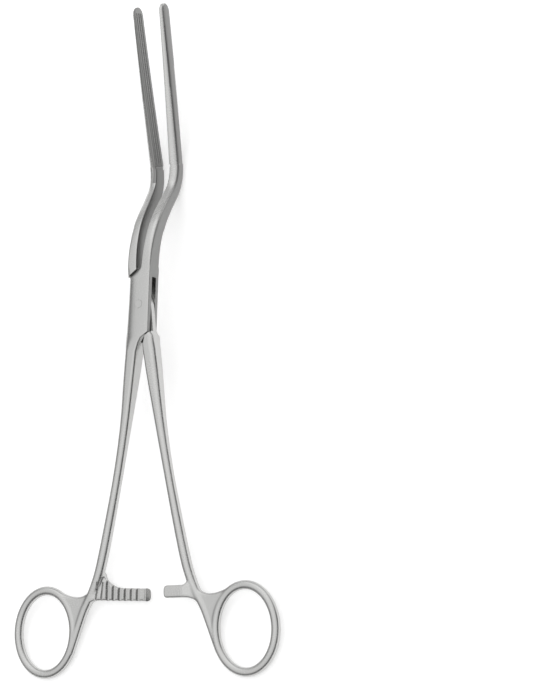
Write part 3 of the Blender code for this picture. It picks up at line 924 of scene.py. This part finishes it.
# A block whose four long edges are moved to the corners of a groove, seen from the arm's lower edge
def wedge(corners, reach):
    least = teeth["reach"][0]
    deselectAll()
    bpy.ops.mesh.primitive_cube_add(size=2 * mm, location=(0, (reach - least) / 2 * mm, 0))
    tool = bpy.context.object
    tool.scale = (1, (reach + least) / 2, 1)
    applyPlace(tool)
    editPiece(tool, "VERT", "DESELECT")
    for (side, up), (x, z) in zip(((-1, -1), (1, -1), (-1, 1), (1, 1)), corners):
        shape = bmesh.from_edit_mesh(tool.data)
        for vertex in shape.verts:
            vertex.select = not vertex.tag and vertex.co.x * side > 0 and vertex.co.z * up > 0
        shape.select_flush_mode()
        for vertex in shape.verts:
            vertex.tag = vertex.tag or vertex.select
        bpy.ops.transform.translate(value=((x - side) * mm, -arm["back"] * mm, (z - up) * mm))
    bpy.ops.object.mode_set(mode="OBJECT")
    return tool


def toothGrooves(plan):
    pitch, crest, top = teeth["pitch"], -arm["clear"], teeth["toolTop"]
    slide, steep, (least, most) = teeth["slide"], teeth["steep"], teeth["reach"]
    valley = crest - teeth["depth"]
    rise = (top - crest) / teeth["depth"]
    tip, end = plan["tip"], plan["tip"] + teeth["toolPast"]
    first = tip - teeth["plainTip"]
    ramp, nose = valley + teeth["rampDepth"] * teeth["depth"], -teeth["noseDepth"]
    near, far = teeth["noseRun"]
    grooves = [
        wedge(((first + teeth["rampRun"] * pitch, ramp), (end, ramp), (first, top), (end, top)), least),
        wedge(((tip - near, nose), (end, nose), (tip - far, 0), (end, 0)), least),
    ]
    for tooth in range(plan["teeth"] - 1):
        left = first - (tooth + 1) * pitch
        right = left + teeth["grooveShare"] * pitch
        reach = min(max(-teeth["reachFrom"] - teeth["reachSlope"] * left, least), most)
        grooves.append(wedge(((left + slide, valley), (right - steep, valley),
                              (left - slide * rise, top), (right + steep * rise, top)), reach))
    return grooves


def fanGrooves(plan):
    first, top = plan["tip"] - teeth["plainTip"], fan["toolTop"]
    grooves = []
    for number, (lean, bottom) in enumerate(plan["fan"]):
        x = first - (plan["teeth"] - fan["first"] + fan["spacing"] * number) * teeth["pitch"]
        widen = fan["widen"] * (top - bottom)
        left, right = x - fan["left"], x + fan["right"]
        corners = ((left, bottom), (right, bottom), (left - widen, top), (right + widen, top))
        groove = wedge(corners, fan["reach"])
        pivot = Vector((x * mm, -arm["back"] * mm, 0))
        turn = Matrix.Rotation(math.radians(lean), 4, "Z")
        groove.matrix_world = Matrix.Translation(pivot) @ turn @ Matrix.Translation(-pivot)
        applyPlace(groove)
        grooves.append(groove)
    return grooves


# Ratchet teeth slope to the arm's tip and are steep to its root, and the last grooves fan out at the root
def cutTeeth(half, plan):
    flip = Matrix.Rotation(math.pi, 4, "Y") if plan["face"] > 0 else Matrix.Identity(4)
    for groove in toothGrooves(plan) + fanGrooves(plan):
        groove.matrix_world = flip @ armTurn(plan)
        applyPlace(groove)
        carve(half, groove)


# One forging: shank, lock, stem and jaw as one bar, with the handle bridged to its end
def makeHalf(name, middle, cutters, bore, plan, mirrored=False):
    front = shankStations(shank["joint"], shank["lockEnd"]) + middle + stemStations() + jawStations()
    half = extrudeAlong(name, front)
    openJoint(half)
    joinPieces(half, makeHandle(plan))
    bridgeJoint(half)
    if mirrored:
        half.scale.x = -1
        applyPlace(half)
        bpy.ops.object.mode_set(mode="EDIT")
        closeFacingOut()
    for cutter in cutters:
        carve(half, cutter)
    carve(half, makeBore(bore))
    cutTeeth(half, plan)
    return half


# Toothed rows along the bite faces: where each row stands up the jaw, in row spacings
biteRows = {
    "box": (-0.5, 0.5),
    "tongue": (-1, 0, 1),
    "spacing": 1.45,
    "width": 0.6,
    "pitch": 0.7,
    "root": 0.08,
    "crest": 0.28,
    "crestShare": (1, 0.12, 0.85),
    "foot": 0.4,
    "lead": 0.12,
    "inset": 1.9,
}


# One tooth: a small block on the bite face, whose outer face is extruded and drawn in to a crest
def makeTooth():
    deselectAll()
    root, crest = biteRows["root"], biteRows["crest"]
    thick = biteRows["foot"] + root
    bpy.ops.mesh.primitive_cube_add(size=1, location=((thick / 2 - root) * mm, 0, 0))
    tooth = bpy.context.object
    tooth.name = "rowTooth"
    tooth.scale = (thick * mm, biteRows["pitch"] * mm, biteRows["width"] * mm)
    applyPlace(tooth)
    editPiece(tooth, "FACE", "DESELECT")
    shape = bmesh.from_edit_mesh(tooth.data)
    min(shape.faces, key=lambda face: face.calc_center_median().x).select = True
    grown = (-(crest - root) * mm, 0, 0)
    bpy.ops.mesh.extrude_region_move(TRANSFORM_OT_translate={"value": grown})
    bpy.ops.transform.resize(value=biteRows["crestShare"], center_override=(-crest * mm, 0, 0))
    bpy.ops.object.mode_set(mode="OBJECT")
    return tooth


def copyTooth(tooth):
    twin = tooth.copy()
    twin.data = tooth.data.copy()
    twin.name = "rowTooth"
    bpy.context.collection.objects.link(twin)
    return twin


def addRows(half, tooth, kind):
    start, end = biteRows["lead"], jaw["length"] - biteRows["inset"]
    y, z, heading = stemPlace(stemLength)
    base = Matrix.Translation((0, y * mm, z * mm)) @ Matrix.Rotation(heading, 4, "X")
    side = 1 if kind == "box" else -1
    turn = Matrix.Identity(4) if kind == "box" else Matrix.Rotation(math.pi, 4, "Y")
    copies = []
    for up in biteRows[kind]:
        for i in range(int((end - start) / biteRows["pitch"])):
            s = start + (i + 0.5) * biteRows["pitch"]
            place = Vector((side * biteGap(stemLength + s), s, up * biteRows["spacing"])) * mm
            twin = copyTooth(tooth)
            twin.matrix_world = base @ Matrix.Translation(place) @ turn
            copies.append(twin)
    joinPieces(half, *copies)


# Painted shade on the sides that turn towards the dim parts of the room, picked by how far forward and
# outward they are and how far their faces turn inward: the bite face with a margin beside its rows (a real
# matt finish, also darkened), the inner side of the stem, and the outer side of lock, stem and jaw
shadedSides = {
    "biteLead": 7.0,
    "biteTurn": -0.5,
    "innerFrom": 14.0,
    "innerOut": 1.2,
    "innerTurn": 0.6,
    "outerFrom": -12.0,
    "outerTurn": -0.75,
    "outerUp": -0.25,
    "boxMargin": 0.0,
    "tongueMargin": 1.9,
}


def paintSideShade(half, side, margin):
    half.data.materials.clear()
    half.data.materials.append(bodySteel)
    half.data.materials.append(mattShadedSteel)
    pick(half)
    biteStart = (stemPlace(stemLength)[0] - shadedSides["biteLead"]) * mm
    innerStart, outerStart = shadedSides["innerFrom"] * mm, shadedSides["outerFrom"] * mm
    for face in half.data.polygons:
        forward, out, inward = face.center.y, abs(face.center.x) / mm, -side * face.normal.x
        beside = forward > biteStart and out < margin and inward > shadedSides["biteTurn"]
        inner = forward > innerStart and out < shadedSides["innerOut"] and inward > shadedSides["innerTurn"]
        outer = forward > outerStart and inward < shadedSides["outerTurn"]
        outer = outer and face.normal.z > shadedSides["outerUp"]
        face.select = beside or inner or outer
    # The picked faces get the darker steel: painted shade, plus a rougher matt finish
    half.active_material_index = 1
    bpy.ops.object.mode_set(mode="EDIT")
    bpy.ops.mesh.select_mode(type="FACE")
    bpy.ops.object.material_slot_assign()
    bpy.ops.object.mode_set(mode="OBJECT")


def layDown(piece, side):
    place = Matrix.Translation(lying["pin"]) @ Matrix.Rotation(math.radians(lying["tilt"]), 4, "X")
    piece.matrix_world = place @ Matrix.Rotation(math.radians(side * lying["halfOpen"]), 4, "Z")
    applyPlace(piece)


makeCamera()
makeTable()
makeRoom()
makeSoftbox()
print("studio ready")

bodySteel = satinSteel("satinSteel")
# Darker copy of the steel for the sides: its halved tint is painted shade, and its extra roughness is a real
# matt finish
mattShadedSteel = satinSteel("mattShadedSteel", steel["paintedShade"], steel["mattRougher"])
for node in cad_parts.values():
    node.data.materials.clear()
    node.data.materials.append(bodySteel)

tongueTop = lock["tongueThickness"] / 2
slotHeight = tongueTop + lock["slotClearance"]
slot = slantedBand("slot", lock["slotReach"], -lock["slotSlant"], -slotHeight, slotHeight)
boxHalf = makeHalf("boxHalf", boxStations(), [slot], lock["boxBore"], longArm)
print("boxHalf", len(boxHalf.data.polygons))

shoulderReach, slant = lock["shoulderReach"] + lock["shoulderGap"], lock["shoulderSlant"]
recesses = [
    slantedBand("recessFront", shoulderReach, slant, tongueTop, lock["recessTop"]),
    slantedBand("recessBack", shoulderReach, slant, -lock["recessTop"], -tongueTop),
]
tongueHalf = makeHalf("tongueHalf", tongueStations(), recesses, lock["tongueBore"], shortArm, mirrored=True)
print("tongueHalf", len(tongueHalf.data.polygons))

rowTooth = makeTooth()
rowTooth.data.materials.append(mattShadedSteel)
for half, side, kind in ((boxHalf, 1, "box"), (tongueHalf, -1, "tongue")):
    paintSideShade(half, side, shadedSides[kind + "Margin"])
    addRows(half, rowTooth, kind)
bpy.data.objects.remove(rowTooth)
print("toothed rows")

for piece, side, node in ((boxHalf, -1, "box_half"), (tongueHalf, 1, "tongue_half")):
    layDown(piece, side)
    pick(piece)
    bpy.ops.object.shade_smooth_by_angle(angle=math.radians(35))
    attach(piece, node)
    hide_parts(node)

bpy.context.scene.view_settings.view_transform = "Standard"
